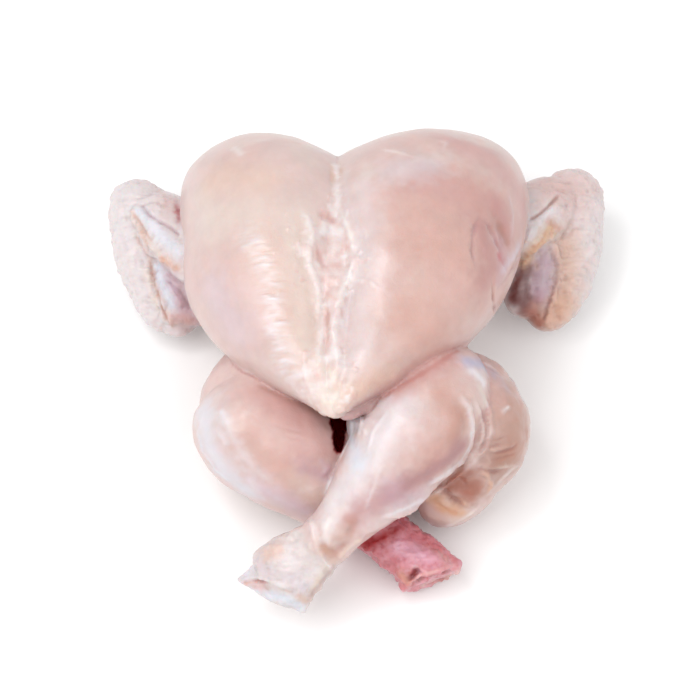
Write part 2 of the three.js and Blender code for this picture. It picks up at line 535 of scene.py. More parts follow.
# Dabs of paint: colour, strength, half width in millimetres, then the pixels that the brush passes.
BREAST_DABS = [
    (DEEP, 0.75, 22, (420, 215), (450, 235), (440, 290), (425, 330)),
    (DEEP, 0.7, 12, (470, 190), (500, 215), (510, 250), (490, 290)),
    (PEACH, 0.8, 9, (212, 182), (235, 176), (262, 182)),
    (CREAM, 0.45, 14, (210, 215), (245, 212), (285, 218)),
    (LILAC, 0.5, 9, (214, 290), (222, 310), (236, 328)),
    (PEACH, 0.7, 9, (262, 245), (290, 300), (300, 340)),
    (CREAM, 0.5, 6, (296, 240), (304, 300), (306, 350)),
    (PINK, 0.5, 6, (215, 140), (262, 137), (310, 142), (332, 152)),
    ("#f2dad4", 0.6, 6, (205, 335), (240, 366), (285, 388), (318, 400)),
    (ROSE, 0.75, 12, (425, 178), (460, 190), (500, 210), (512, 230)),
    # Painted highlight: a soft pale band down the right lobe beside the keel.
    (PEARL, 0.35, 8, (362, 190), (368, 250), (362, 310), (354, 360)),
    (DEEP, 0.6, 9, (408, 245), (440, 255), (465, 270)),
    (DEEP, 0.7, 9, (405, 315), (425, 335), (438, 350)),
    (APRICOT, 0.6, 6, (345, 396), (365, 388), (388, 378)),
    # Painted shade in the crease between the tip of the breast and the right leg.
    (PLUM, 0.6, 2.0, (354, 408), (364, 402), (377, 395)),
    (PINK, 0.5, 9, (448, 280), (475, 295), (492, 308)),
    (DUSK, 0.8, 6, (482, 228), (490, 248), (493, 266), (484, 282)),
    ("#d49694", 0.5, 5, (497, 205), (504, 222), (503, 240)),
    (PINK, 0.6, 4, (521, 185), (526, 215), (523, 245)),
    (MAUVE, 0.45, 4, (500, 240), (505, 262), (500, 280)),
    (ROSE, 0.5, 6, (520, 190), (524, 215), (515, 245), (500, 300)),
    # Painted shade along the crease between the breast and the right leg.
    (ROSE, 0.7, 5, (380, 392), (415, 375), (450, 356), (478, 338)),
    (PINK, 0.5, 9, (385, 145), (440, 140), (490, 160)),
    ("#dfaeaa", 0.7, 7, (455, 142), (490, 156), (512, 178), (523, 206)),
    ("#e8c6c2", 0.45, 5, (186, 185), (180, 215), (186, 260), (192, 300)),
    (BLUISH, 0.35, 7, (395, 170), (430, 165)),
    (FAT, 0.5, 1.6, (234, 148), (241, 154)),
]
LEG_DABS = [
    (ROSE, 0.8, 10, (278, 406), (303, 428), (324, 450), (300, 455)),
    (DEEP, 0.6, 9, (250, 440), (285, 475)),
    (PEACH, 0.7, 6, (298, 476), (312, 496)),
    ("#c9a0aa", 0.6, 4, (304, 468), (324, 476)),
    ("#eacfd8", 0.8, 6, (262, 490), (285, 502), (303, 510)),
    (BLUISH, 0.7, 8, (203, 410), (208, 445), (226, 475), (245, 490)),
    ("#f0d0ca", 0.8, 7, (222, 380), (245, 378), (262, 388)),
    # Painted shade along the crease between the breast and the left leg: this row and the next.
    (RUSSET, 0.5, 1.8, (262, 388), (285, 398), (305, 408), (326, 417)),
    (ROSE, 0.6, 5, (255, 392), (290, 406), (322, 424)),
    # Painted highlight along the left side of the right drumstick.
    (PEARL, 0.75, 10, (398, 400), (382, 435), (360, 468), (335, 500)),
    # Bluish pale flesh at the left edge of the right leg, made paler still as painted light where it bulges
    # into shade.
    (BLUISH, 0.8, 4, (351, 418), (351, 432), (352, 445), (358, 462)),
    ("#cf9a9c", 0.75, 6, (350, 520), (366, 508), (388, 498)),
    (DEEP, 0.9, 8, (442, 395), (457, 420), (450, 445), (430, 465)),
    (BROWN, 0.4, 4, (459, 410), (461, 424), (455, 438)),
    # Painted shade along the crease under the breast, on the right leg: this row and the next three.
    (ROSE, 0.7, 4.5, (398, 392), (430, 374), (452, 361)),
    (PLUM, 0.6, 1.8, (354, 408), (364, 402), (377, 395)),
    ("#b8706a", 0.6, 1.6, (377, 396), (390, 389)),
    ("#cf8f88", 0.8, 1.8, (382, 394), (400, 386), (420, 375), (440, 362), (457, 351)),
    ("#b98486", 0.9, 5, (462, 447), (449, 460), (430, 472), (406, 487)),
    (MAUVE, 0.5, 6, (392, 490), (402, 502), (420, 498)),
    (FAT, 0.6, 5, (335, 502), (330, 522), (340, 535)),
    (HEATHER, 0.9, 3.6, (468, 361), (484, 366), (498, 380), (506, 389)),
    (ROSE, 0.7, 1.6, (472, 351), (487, 353)),
    (PEARL, 0.95, 2.6, (474, 372), (483, 382)),
    (CREAM, 0.7, 2, (480, 388), (486, 402)),
]
THIGH_DABS = [
    (TAN, 0.9, 14, (500, 400), (514, 425), (510, 455)),
    (BROWN, 0.5, 5, (524, 415), (526, 440), (520, 458)),
    (BROWN, 0.9, 5, (455, 474), (475, 484), (470, 495)),
    (BROWN, 0.6, 5, (505, 462), (515, 452)),
    ("#ecb48c", 0.9, 4.2, (436, 499), (444, 508), (460, 514)),
    ("#f0d4c8", 0.7, 3.0, (424, 514), (440, 521), (456, 519)),
    ("#c98f78", 0.6, 3.0, (498, 459), (512, 457)),
    (CLAY, 0.8, 5.5, (456, 482), (464, 488), (472, 492)),
    # Painted shade along the edge under the right leg, above the thigh's fat pad.
    ("#a8614a", 0.8, 3.5, (448, 489), (457, 480), (468, 473)),
    (PINK, 0.6, 6, (492, 388), (496, 402)),
    ("#b08274", 0.5, 6, (486, 446), (494, 460), (500, 474)),
]
WING_DABS = [
    (SKIN, 0.9, 12, (118, 200), (120, 240), (132, 290), (150, 325)),
    (PINK, 0.4, 5, (150, 188), (164, 196), (173, 210)),
    # Painted light: the top of the left elbow, which faces away from the light, is made as pale as the rest
    # of the skin.
    (SKIN, 0.9, 9, (128, 190), (145, 186)),
    (MAUVE, 0.85, 6, (168, 278), (180, 300), (188, 316)),
    (PINK, 0.6, 5, (178, 318), (188, 322)),
    (BLUISH, 0.9, 3, (156, 266), (162, 284), (170, 304)),
    (PINK, 0.7, 12, (548, 186), (570, 190), (585, 205)),
    (SKIN, 0.8, 9, (596, 215), (594, 250), (584, 290)),
    (PEACH, 0.75, 8, (566, 240), (570, 270), (566, 300)),
    (APRICOT, 0.5, 4, (563, 250), (565, 280), (558, 310)),
    (ORANGE, 0.4, 7, (560, 312), (555, 324)),
    (MAUVE, 0.95, 6.0, (543, 264), (541, 280), (539, 300)),
    # Painted highlight in the pocket of the right wing.
    (LILAC, 0.5, 2.5, (543, 262), (542, 285)),
    (BROWN, 0.8, 4.5, (531, 310), (538, 322)),
    (MAROON, 0.8, 3.2, (520, 298), (527, 312)),
    ("#c47c6c", 0.9, 4, (532, 314), (540, 322)),
    ("#f6c4ac", 0.7, 5, (553, 318), (558, 306)),
    (MAROON, 1.0, 4.2, (523, 270), (517, 284), (513, 298)),
    (APRICOT, 0.7, 3.5, (553, 312), (560, 300)),
]
WING_MARKS = [
    # Painted shade, with a shallow groove, in the crevice where the left wing goes behind the breast.
    ("#c04e58", 0.9, -0.6, 1.4, (176, 201), (179, 214), (180, 227)),
    ("#d08a72", 0.8, -0.9, 0.8, (131, 211), (140, 222), (147, 234), (153, 243)),
    ("#dea68e", 0.7, -0.6, 0.8, (134, 232), (140, 244), (148, 257)),
    (APRICOT, 0.6, 0.6, 1.2, (142, 232), (148, 246)),
    ("#efb8a0", 0.9, 0.6, 2.4, (164, 260), (176, 268)),
    ("#c08468", 0.8, -0.8, 0.9, (150, 258), (152, 275), (158, 294), (163, 310), (170, 324), (174, 333)),
    (BUTTER, 0.6, 0.8, 1.8, (146, 262), (149, 282), (155, 300), (162, 318)),
    (MAROON, 0.5, -0.8, 1.2, (178, 283), (186, 300), (195, 315)),
    (ROSE, 0.7, 0.0, 3.0, (176, 321), (190, 322)),
    (MAROON, 0.9, -1.2, 1.7, (530, 260), (526, 276), (525, 292), (529, 306)),
    (MAROON, 0.5, -0.9, 1.0, (549, 249), (557, 264), (556, 282), (550, 300), (545, 316), (544, 328)),
    ("#eec2a2", 0.9, 0.6, 2.4, (530, 257), (537, 249), (546, 242), (552, 232)),
    ("#e2a079", 0.5, 0.9, 1.0, (528, 258), (535, 247), (544, 237), (549, 229)),
    ("#dc9a82", 0.6, 0.4, 1.6, (548, 221), (555, 226), (561, 229)),
    (BUTTER, 0.8, 1.2, 1.2, (534, 243), (541, 236)),
    (MAUVE, 0.5, -0.5, 0.8, (563, 206), (567, 206)),
]
SLEEVE_DABS = [
    (SKIN, 0.8, 9, (285, 560), (302, 585), (320, 570)),
    (LILAC, 0.5, 4, (258, 562), (266, 572)),
    (LILAC, 0.4, 4, (292, 578), (304, 590)),
    ("#f0c4b2", 0.65, 3, (268, 555), (278, 549)),
    (BLUISH, 0.7, 4, (245, 562), (248, 574)),
    (BLUISH, 0.9, 3.2, (245, 584), (262, 593), (285, 599), (302, 606)),
    (PINK, 0.7, 2.5, (247, 584), (262, 587)),
    (BUTTER, 0.8, 2.4, (334, 562), (322, 576), (314, 590)),
    # Painted shade along the lower right edge of the sleeve, on its underside.
    ("#cdb4b0", 0.9, 2.2, (341, 559), (326, 576), (312, 595)),
    (APRICOT, 0.6, 2, (300, 597), (307, 602)),
    (APRICOT, 0.6, 2.5, (340, 556), (350, 547), (358, 540)),
]
RED_END_DABS = [
    # Painted sheen: a pale lilac-pink highlight across the middle of the red end.
    ("#f6bcd0", 0.85, 5, (400, 546), (418, 552), (428, 556)),
    ("#e0a8a4", 0.8, 3, (432, 546), (446, 558)),
    ("#dc868c", 0.8, 5, (378, 560), (388, 570), (396, 578)),
    ("#e0808a", 0.8, 4, (404, 530), (425, 538), (440, 548)),
    ("#b00010", 1.0, 3.6, (365, 545), (378, 539), (394, 531)),
    ("#ecc8c0", 0.8, 1.8, (424, 584), (444, 578), (458, 572)),
    ("#d9947f", 0.9, 2.2, (402, 575), (408, 582)),
]

# Marks that are raised or sunk as well as painted: colour, strength, height in millimetres, then as in a dab.
BREAST_MARKS = [
    (PEARL, 0.3, -0.5, 2.2, (344, 165), (348, 200), (359, 228), (361, 262), (355, 284), (345, 312),
     (342, 345)),
    (PEACH, 0.3, -0.5, 2.2, (299, 215), (302, 238), (301, 262), (309, 290), (315, 320), (313, 350)),
    (ROSE, 0.7, -0.6, 2.2, (323, 215), (332, 220)),
    (ROSE, 0.6, -0.6, 1.4, (315, 238), (319, 255), (324, 266), (333, 271)),
    (PINK, 0.7, -0.3, 2.6, (324, 280), (331, 287)),
    (DEEP, 0.6, -0.5, 1.2, (326, 296), (327, 318), (327, 345)),
    (ORANGE, 0.45, -0.3, 1.5, (330, 163), (332, 176), (333, 188)),
    (ORANGE, 0.45, -0.3, 1.3, (341, 163), (341, 178)),
    (MAROON, 0.6, -0.5, 1.2, (333, 154), (341, 155)),
    (BUTTER, 0.8, 1.0, 6.0, (330, 380), (331, 403)),
    (RUSSET, 0.5, -0.8, 3.6, (497, 224), (505, 238)),
    (BRUISE, 0.7, -1.0, 1.1, (479, 217), (488, 226), (495, 240), (502, 256)),
    (BRUISE, 0.6, -0.8, 1.1, (479, 217), (473, 232), (471, 250), (475, 268)),
    (DUSK, 0.4, 0.5, 3.6, (482, 236), (486, 256)),
    (RASPBERRY, 0.7, -0.8, 1.6, (499, 257), (504, 266)),
    (LILAC, 0.9, 0.8, 2.4, (523, 240), (513, 259), (500, 274)),
    (WINE, 0.55, -1.0, 0.8, (491, 280), (492, 298), (495, 315)),
    (BRUISE, 0.6, -0.7, 0.9, (524, 248), (516, 264), (504, 280), (496, 290)),
    (LILAC, 0.5, 0.4, 1.2, (508, 190), (513, 215), (511, 240)),
    (FAT, 0.8, 0.7, 0.9, (380, 150), (392, 151), (404, 154), (417, 158)),
    (FAT, 0.6, 0.5, 0.9, (436, 140), (446, 143), (443, 150)),
    (FAT, 0.6, 0.4, 0.9, (370, 282), (376, 287)),
    (FAT, 0.5, 0.4, 0.9, (348, 281), (362, 280)),
]
LEG_MARKS = [
    # Painted highlights on the left drumstick: a soft streak along its lower-left edge, raised a little as
    # well, and two small glints (this row and the next two).
    (PEARL, 0.55, 0.35, 2.4, (220, 412), (227, 428), (238, 447), (254, 468), (276, 487)),
    (PEARL, 0.7, 0.4, 1.6, (222, 412), (228, 422)),
    (PEARL, 0.6, 0.4, 1.6, (217, 430), (225, 441)),
    (BLUISH, 0.6, 0.6, 1.1, (197, 430), (203, 452), (215, 470), (232, 484)),
    (MAUVE, 0.6, 0.4, 1.2, (322, 460), (329, 467), (325, 474)),
    (ROSE, 0.4, -0.3, 0.9, (272, 424), (290, 430), (306, 434)),
    (ROSE, 0.4, -0.3, 0.9, (280, 434), (300, 440), (316, 450)),
    (PEARL, 0.3, 3.4, 4.5, (366, 410), (355, 418), (350, 428), (346, 440)),
    (PEARL, 0.8, 1.2, 1.3, (460, 394), (469, 408), (473, 424), (471, 444), (462, 460), (446, 474),
     (425, 487)),
    (FAT, 0.8, 1.0, 1.0, (474, 400), (482, 416), (484, 434), (478, 450), (466, 464)),
    (PEARL, 0.8, 1.3, 1.1, (485, 398), (491, 414), (491, 432), (486, 448), (474, 462), (452, 481), (430, 496),
     (405, 509), (380, 518)),
    (BRUISE, 0.7, -0.9, 1.1, (478, 404), (486, 421), (486, 440), (479, 453)),
    (BROWN, 0.2, -0.6, 2.0, (457, 404), (465, 424), (461, 444)),
    (ROSE, 0.2, -0.5, 2.6, (450, 462), (425, 478), (400, 492)),
    (PEARL, 0.3, 1.8, 4.5, (366, 530), (384, 521), (402, 508), (424, 496)),
    (PEARL, 0.6, 0.5, 1.0, (362, 402), (355, 426), (345, 448), (334, 474), (322, 500)),
    (PEARL, 0.6, 0.4, 0.9, (388, 410), (373, 432), (366, 454)),
    (PEARL, 0.5, 0.4, 0.9, (380, 470), (372, 492), (364, 512)),
    (PEACH, 0.5, 0.5, 0.9, (454, 357), (466, 369)),
]
# At the upper edge of the sleeve, over its paint.
MARGIN_MARKS = [
    (FAT, 0.8, 1.4, 1.1, (311, 516), (314, 534), (318, 548), (324, 560), (333, 571)),
    ("#d29c7c", 0.65, -0.9, 2.0, (322, 547), (331, 552)),
    ("#b98780", 0.9, -1.2, 2.2, (353, 523), (349, 534), (342, 545), (335, 552)),
    (FAT, 0.8, 1.2, 2.4, (326, 526), (328, 540)),
    (BUTTER, 0.7, 1.2, 1.4, (340, 557), (348, 549), (358, 541)),
    ("#d9a088", 0.45, 0.0, 4.5, (352, 521), (341, 537), (327, 552)),
]
THIGH_MARKS = [
    (WINE, 0.5, -0.7, 0.6, (489, 441), (498, 439), (507, 436)),
    (WINE, 0.7, -0.9, 0.7, (488, 447), (496, 445), (504, 443)),
    (WINE, 0.7, -0.9, 0.7, (490, 453), (502, 452), (511, 449), (518, 443)),
    (WINE, 0.6, -0.8, 0.7, (492, 460), (504, 457), (516, 453)),
    (WINE, 0.8, -1.3, 1.0, (474, 468), (484, 470), (494, 472), (504, 470)),
    (PEACH, 0.6, 0.9, 0.8, (487, 450), (500, 449), (510, 445)),
    (PEACH, 0.6, 0.9, 0.8, (478, 455), (487, 456), (490, 462), (484, 467)),
    (CREAM, 0.7, 0.9, 0.8, (494, 467), (505, 467), (518, 465)),
    (APRICOT, 0.9, 1.6, 1.2, (480, 470), (488, 476), (491, 485), (487, 496)),
    (CLAY, 0.8, -2.0, 4.0, (458, 482), (466, 488), (474, 484)),
    ("#9c543c", 1.0, -1.8, 1.3, (446, 491), (452, 497), (460, 503)),
    (HEATHER, 0.3, -2.6, 5.0, (518, 378), (524, 392)),
    (APRICOT, 0.8, 1.2, 1.3, (434, 498), (442, 502), (452, 508), (463, 512)),
    (APRICOT, 0.6, 1.2, 1.1, (456, 497), (466, 504), (470, 509)),
    (FAT, 0.6, 0.8, 1.0, (419, 511), (425, 523), (437, 528), (450, 525), (465, 518), (478, 508), (483, 498)),
    (FAT, 0.7, 0.8, 1.0, (520, 463), (506, 475), (494, 488)),
    (PEARL, 0.6, 0.4, 0.9, (503, 411), (508, 407)),
]
SLEEVE_MARKS = [
    (RASPBERRY, 0.8, -1.3, 0.7, (250, 580), (260, 581), (269, 583)),
    (ORANGE, 0.5, -0.6, 0.7, (246, 583), (258, 581)),
    (FAT, 0.7, 0.8, 1.0, (246, 578), (262, 579), (274, 583), (290, 588)),
    (APRICOT, 0.7, -0.9, 0.8, (280, 589), (291, 592), (298, 599)),
    (PEACH, 0.3, 1.4, 2.6, (320, 588), (313, 598)),
    (BLUISH, 0.4, -1.4, 3.4, (292, 610), (306, 611)),
]
RED_END_MARKS = [
    ("#f0c0bc", 0.9, 1.3, 1.0, (408, 584), (420, 575), (436, 571), (460, 562)),
    (WINE, 0.9, -1.6, 0.8, (411, 587), (421, 579), (437, 575), (457, 568)),
    (PINK, 0.8, 1.0, 1.1, (425, 586), (446, 579), (463, 573)),
    # Painted shade in the sunk hole of the cut end.
    ("#90302c", 1.0, -3.4, 1.7, (411, 578), (416, 572)),
    (PINK, 0.8, 1.0, 0.8, (407, 570), (416, 566), (423, 570)),
    (PINK, 0.0, 2.6, 2.6, (461, 564), (458, 570)),
    (PINK, 0.0, -2.4, 4.0, (360, 555), (376, 568), (392, 586), (404, 594)),
    (RASPBERRY, 0.8, -0.7, 1.4, (405, 534), (418, 540), (440, 548)),
    (TORN, 0.8, 0.8, 1.6, (392, 545), (410, 556), (424, 566)),
    (BLOOD, 0.7, -0.8, 1.2, (432, 582), (452, 576)),
]


# ---- sculpting

# The strip of fat along the keel as (half width, pixels), and its two ragged ridges.
FAT_STRIP = [
    (0.9, (337, 164), (337, 190)),
    (2.8, (335, 198), (331, 220)),
    (9.0, (330, 236), (331, 242)),
    (10.5, (330, 254), (331, 264)),
    (8.0, (332, 274), (332, 282)),
    (5.2, (331, 292), (331, 300)),
    (3.8, (329, 312), (328, 340)),
    (6.5, (328, 358), (328, 366)),
    (7.5, (326, 378), (328, 388)),
    (5.5, (328, 398), (329, 405)),
]
FAT_RIDGES = [
    [(301, 208), (308, 219), (313, 234), (308, 250), (310, 265), (316, 282), (320, 302), (322, 322),
     (321, 342), (317, 357), (309, 374)],
    [(335, 162), (337, 190), (338, 208), (348, 228), (353, 246), (351, 266), (347, 280), (340, 298),
     (335, 318), (335, 342), (338, 358), (342, 374)],
]
RIPPLES = [(246, 236), (262, 256), (267, 276), (272, 296), (275, 320), (277, 345), (286, 368), (300, 386)]
# On each wing: the band of skin that spans the fold, the fat beneath its edge, the rim of the forearm's skin,
# the middle of the pocket between them and the crease above the band.
WING_BANDS = [
    [(139, 211), (151, 224), (164, 238), (178, 252)],
    [(525, 237), (534, 228), (543, 219), (551, 209)],
]
WING_FAT = [
    [(135, 216), (142, 230), (151, 243), (162, 257), (176, 267)],
    [(526, 262), (532, 250), (543, 240), (550, 228)],
]
WING_RIMS = [
    [(133, 214), (139, 228), (146, 243), (152, 268), (156, 287), (164, 303), (173, 326)],
    [(551, 236), (560, 264), (558, 282), (551, 305), (545, 325)],
]
WING_POCKETS = [
    [(160, 272), (169, 288), (179, 303)],
    [(546, 257), (544, 276), (541, 298)],
]
WING_CREASES = [
    [(143, 207), (150, 216), (161, 223), (170, 227), (178, 234)],
    [(532, 219), (540, 214), (547, 208), (557, 197)],
]
# The paint along them: colour, strength, half width, how ragged it is, then the lines.
WING_COATS = [
    (BLUISH, 0.85, 3.4, 0.2, WING_BANDS[0]),
    (PEARL, 0.8, 1.9, 0.2, WING_BANDS[1]),
    (BUTTER, 0.35, 2.0, 0.4, WING_FAT[0]),
    ("#efc4a2", 0.9, 3.0, 0.4, WING_FAT[1]),
    (APRICOT, 0.3, 1.2, 0.5, *WING_RIMS),
    (MAUVE, 0.6, 0.8, 0.0, WING_CREASES[0]),
    (RUSSET, 0.6, 0.8, 0.0, WING_CREASES[1]),
]
LEFT_KNEE = [(243, 374), (224, 386), (207, 403)]
# Where the skin sleeve of the right leg, and the tears and the red of the left one set in, as shares of the
# leg's length: from none of it to all of it.
SLEEVE_STARTS = (0.72, 0.78)
TEARS_START = (0.62, 0.68)
RED_STARTS = (0.61, 0.65)
WRINKLES_START = (82, 87)  # how far from the middle the wings' wrinkled outer skin sets in


def soften_joins(skin):
    """Flesh runs into flesh without a seam, except where one mass only lies against another."""
    tight = skin.of("leg", "lip") * smooth(0.12, 0.3, skin.station)
    skin.melt(0.5 - 0.25 * skin.softened(tight, 4), 5)
    skin.refresh()
    skin.melt(0.8 * skin.near(7, LEFT_KNEE), 40)


def fat_strip(skin):
    """1 on the strip of fat over the keel, 0 off it, with a frayed edge."""
    cover = np.max([skin.near(width, line, ragged=0.5) for width, *line in FAT_STRIP], axis=0)
    return smooth(0.25, 0.6, cover + 0.15 * lumps(skin.points, 2.5, 2))


def threads(skin):
    """1 on thin wandering lines, as of blood vessels, and 0 between them."""
    lines = smooth(0.1, 0.0, np.abs(lumps(skin.points, 5, 33)))
    return lines * smooth(0.0, 0.6, lumps(skin.points, 10, 34))


def ripples(skin):
    """Fine folds across the left lobe, 1 on their crests and -1 between them."""
    reach = along_line(skin.points, skin.drawn(RIPPLES))[0]
    return np.exp(-(reach / 5) ** 2) * lumps(skin.points, 1.6, 6, stretch=(5, 1, 3))


def sculpt_breast(skin):
    breast = skin.softly(2, *BREAST_WORDS)
    ridges = sum(skin.stroke(1.5, line, 4) for line in FAT_RIDGES) * 0.6
    grain = lumps(skin.points, 3.5, 5, stretch=(1, 2, 1)) * 0.15 + lumps(skin.points, 7, 3) * 0.5 + 0.3
    swell = lumps(skin.points, 30, 7) * 0.8 + lumps(skin.points, 12, 8) * 0.25
    height = skin.relief(BREAST_MARKS) + ridges + fat_strip(skin) * grain + swell + ripples(skin) * 0.3
    skin.raise_by(breast * height)


def sculpt_legs(skin):
    leg = skin.softly(2, "leg", "thigh")
    swell = lumps(skin.points, 18, 9) * 0.6 + lumps(skin.points, 8, 10) * 0.25
    height = skin.relief(LEG_MARKS) + skin.relief(MARGIN_MARKS) + swell
    skin.raise_by(leg * height)
    skin.refresh()
    thigh = skin.softly(2, "right thigh")
    skin.raise_by(thigh * (skin.relief(THIGH_MARKS) + lumps(skin.points, 5, 31, stretch=(2, 1, 1)) * 0.35))


def sculpt_wings(skin):
    wings = skin.softly(3, *WING_WORDS)
    height = skin.near(3.2, *WING_BANDS) * 1.5
    height += skin.near(2.2, *WING_FAT, ragged=0.4) * (0.8 + 0.7 * lumps(skin.points, 2.6, 11))
    height += skin.near(1.5, *WING_RIMS, ragged=0.4) * (1.0 + 0.6 * lumps(skin.points, 3.4, 19))
    height += skin.near(6.0, *WING_POCKETS) * -1.6 + skin.near(2.6, *WING_POCKETS) * 1.6
    height += skin.near(0.9, *WING_CREASES) * -1.4 + skin.relief(WING_MARKS)
    outer = smooth(*WRINKLES_START, np.abs(skin.points[:, 0]))
    wrinkles = lumps(skin.points, 2.2, 12, stretch=(4, 1, 4)) * 0.5
    height += outer * (wrinkles + lumps(skin.points, 2.8, 13) * 0.35)
    height += lumps(skin.points, 11, 14) * 0.5
    skin.raise_by(wings * height)


def sleeve_of(skin):
    """1 on the skin that is left at the end of the right leg."""
    return np.maximum(skin.of("right leg") * smooth(*SLEEVE_STARTS, skin.station), skin.of("lip"))


def sculpt_ends(skin):
    """The skin sleeve and cut end of the right leg, and the torn red end of the left one."""
    folds = lumps(skin.points, 7, 15, stretch=(1, 0.45, 1)) * 0.6 + lumps(skin.points, 3.2, 16) * 0.3
    tears = lumps(skin.points, 8, 17, stretch=(1, 1, 0.5)) * 0.8 + lumps(skin.points, 2.2, 18) * 0.55
    red = skin.of("left leg") * smooth(*TEARS_START, skin.station)
    height = skin.softened(sleeve_of(skin), 2) * (folds + skin.relief(SLEEVE_MARKS))
    height += skin.softened(red, 2) * (tears + skin.relief(RED_END_MARKS))
    skin.raise_by(height)


def build():
    bird = assemble(BODY, LIMBS, *HOLLOWS)
    skin = Surface(bird, [*BODY, *LIMBS, *HOLLOWS])
    skin.points[:, 2] = np.maximum(skin.points[:, 2], 0)
    skin.points += STANDING
    soften_joins(skin)
    skin.refresh()
    for sculpt in (sculpt_breast, sculpt_legs, sculpt_wings, sculpt_ends):
        sculpt(skin)
        skin.refresh()
    skin.points[:, 2] = np.maximum(skin.points[:, 2], 0)
    return skin


# ---- paint


class Palette:
    """The colour of each vertex, laid on in coats."""

    def __init__(self, skin, base):
        self.skin = skin
        self.tone = np.tile(linear(base), (len(skin.points), 1))

    def coat(self, colour, cover):
        """A coat of paint that covers by `cover`, from 0 to 1 at each vertex."""
        self.tone += (linear(colour) - self.tone) * np.clip(cover, 0, 1)[:, None]

    def dabs(self, dabs, on):
        """Dabs with frayed edges, on the part of the surface where `on` is above 0."""
        for seed, (colour, strength, width, *line) in enumerate(dabs):
            self.coat(colour, strength * on * self.skin.near(width, line, ragged=BRUSH_RAGGED, seed=seed))

    def marks(self, marks, on):
        """The paint of the marks whose height `Surface.relief` gives."""
        for seed, (colour, strength, _, width, *line) in enumerate(marks):
            self.coat(colour, strength * on * self.skin.stroke(width, line, seed))


def linear(hex_colour):
    """A colour written as #rrggbb, as the linear values that the shader reads."""
    srgb = [int(hex_colour[k:k + 2], 16) / 255 for k in (1, 3, 5)]
    return np.array([c / 12.92 if c <= 0.04045 else ((c + 0.055) / 1.055) ** 2.4 for c in srgb])


def paint_breast(colours, breast, fat):
    skin = colours.skin
    colours.dabs(BREAST_DABS, breast)
    # Painted highlight: a soft lilac-white band along the ripples of the left lobe, palest on their crests.
    colours.coat(PEARL, breast * (0.45 * skin.near(4.5, RIPPLES) + 0.5 * ripples(skin)))
    colours.coat(PINK, fat * 0.6)
    colours.coat(FAT, fat * (0.45 + 0.45 * lumps(skin.points, 4, 24)))
    for line in FAT_RIDGES:
        colours.coat(FAT, 0.85 * breast * skin.stroke(1.8, line, 4))
    colours.marks(BREAST_MARKS, breast)
    colours.coat(KEEL_FILM, 0.6 * skin.softly(2, "film"))


def paint_legs(colours, leg):
    skin = colours.skin
    colours.coat(PINK, leg * 0.3)
    colours.dabs(LEG_DABS, leg)
    thigh = skin.softly(2, "right thigh")
    colours.marks(LEG_MARKS, leg)
    colours.dabs(THIGH_DABS, thigh)
    colours.marks(THIGH_MARKS, thigh)


def paint_wings(colours, wing):
    skin = colours.skin
    colours.coat(SKIN, wing * 0.8)
    colours.dabs(WING_DABS, wing)
    for colour, strength, width, ragged, *lines in WING_COATS:
        colours.coat(colour, wing * strength * skin.near(width, *lines, ragged=ragged))
    colours.marks(WING_MARKS, wing)


def paint_ends(colours, sleeve, red):
    skin = colours.skin
    colours.coat(SLEEVE, sleeve * 0.8)
    colours.dabs(SLEEVE_DABS, sleeve)
    colours.marks(SLEEVE_MARKS, sleeve)
    colours.coat(RED_END, red * 0.95)
    colours.coat(RASPBERRY, red * 0.7 * smooth(-0.2, 0.6, lumps(skin.points, 3.5, 22)))
    colours.coat(TORN, red * 0.7 * smooth(0.0, 0.6, lumps(skin.points, 2.6, 23)))
    colours.coat(BLOOD, red * threads(skin) * 0.35)
    colours.dabs(RED_END_DABS, red)
    colours.marks(RED_END_MARKS, red)


def paint(skin):
    """Gives each vertex its `tone`, and its `feel`: how far it is bumpy skin, grainy fat and torn flesh."""
    breast = skin.softly(2, *BREAST_WORDS)
    wing = skin.softly(2, *WING_WORDS)
    sleeve = skin.softened(sleeve_of(skin), 3)
    red = skin.softened(skin.of("left leg") * smooth(*RED_STARTS, skin.station), 3)
    leg = skin.softly(2, "leg", "thigh", "lip") * (1 - red)
    fat = breast * fat_strip(skin)
    colours = Palette(skin, FLESH)
    colours.coat(PINK, 0.35 * smooth(-0.2, 0.8, lumps(skin.points, 26, 20)))
    colours.coat(CREAM, 0.35 * smooth(0, 0.8, lumps(skin.points, 16, 21)))
    paint_breast(colours, breast, fat)
    paint_legs(colours, leg)
    paint_wings(colours, wing)
    paint_ends(colours, sleeve, red)
    colours.marks(MARGIN_MARKS, leg)
    # Painted shade: the flesh turns darker rose in creases, where shade falls.
    crease = smooth(0.02, 0.08, skin.hollowness()) * (1 - red)
    colours.coat(ROSE, crease * 0.3)
    # Painted shade where the breast meets the legs, and where the right leg meets its thigh.
    colours.coat(SEAM_SHADE, 0.45 * seam(skin, BREAST_WORDS, ("leg", "thigh")))
    colours.coat(ROSE, 0.5 * seam(skin, ["right leg"], ["right thigh"]))
    paint_hollow(colours)
    write_colour(skin, "tone", colours.tone * ALBEDO)
    write_colour(skin, "feel", np.stack([np.maximum(wing, sleeve), fat, red], 1))


def seam(skin, one, other):
    """1 where the forms named by `one` meet those named by `other`."""
    return 4 * skin.softly(6, *one) * skin.softly(6, *other)


def paint_hollow(colours):
    """Blood in the belly, painted bright to stand in for light in its deep shade, and painted shade round the
    slit's top.
    """
    skin = colours.skin
    hollow = skin.softly(3, "hollow")
    colours.coat(SCARLET, hollow)
    for (top, bottom), _ in SLIT:
        end = between(np.array(top), np.array(bottom), SLIT_RIM)
        away = along_line(skin.points, np.array([top, end]) + STANDING)[0]
        colours.coat(SLIT_SHADE, hollow * smooth(*SLIT_DARK, away))


def write_colour(skin, name, values):
    attribute = skin.obj.data.color_attributes.new(name, "FLOAT_COLOR", "POINT")
    attribute.data.foreach_set("color", np.hstack([values, np.ones((len(values), 1))]).ravel())


# ---- material


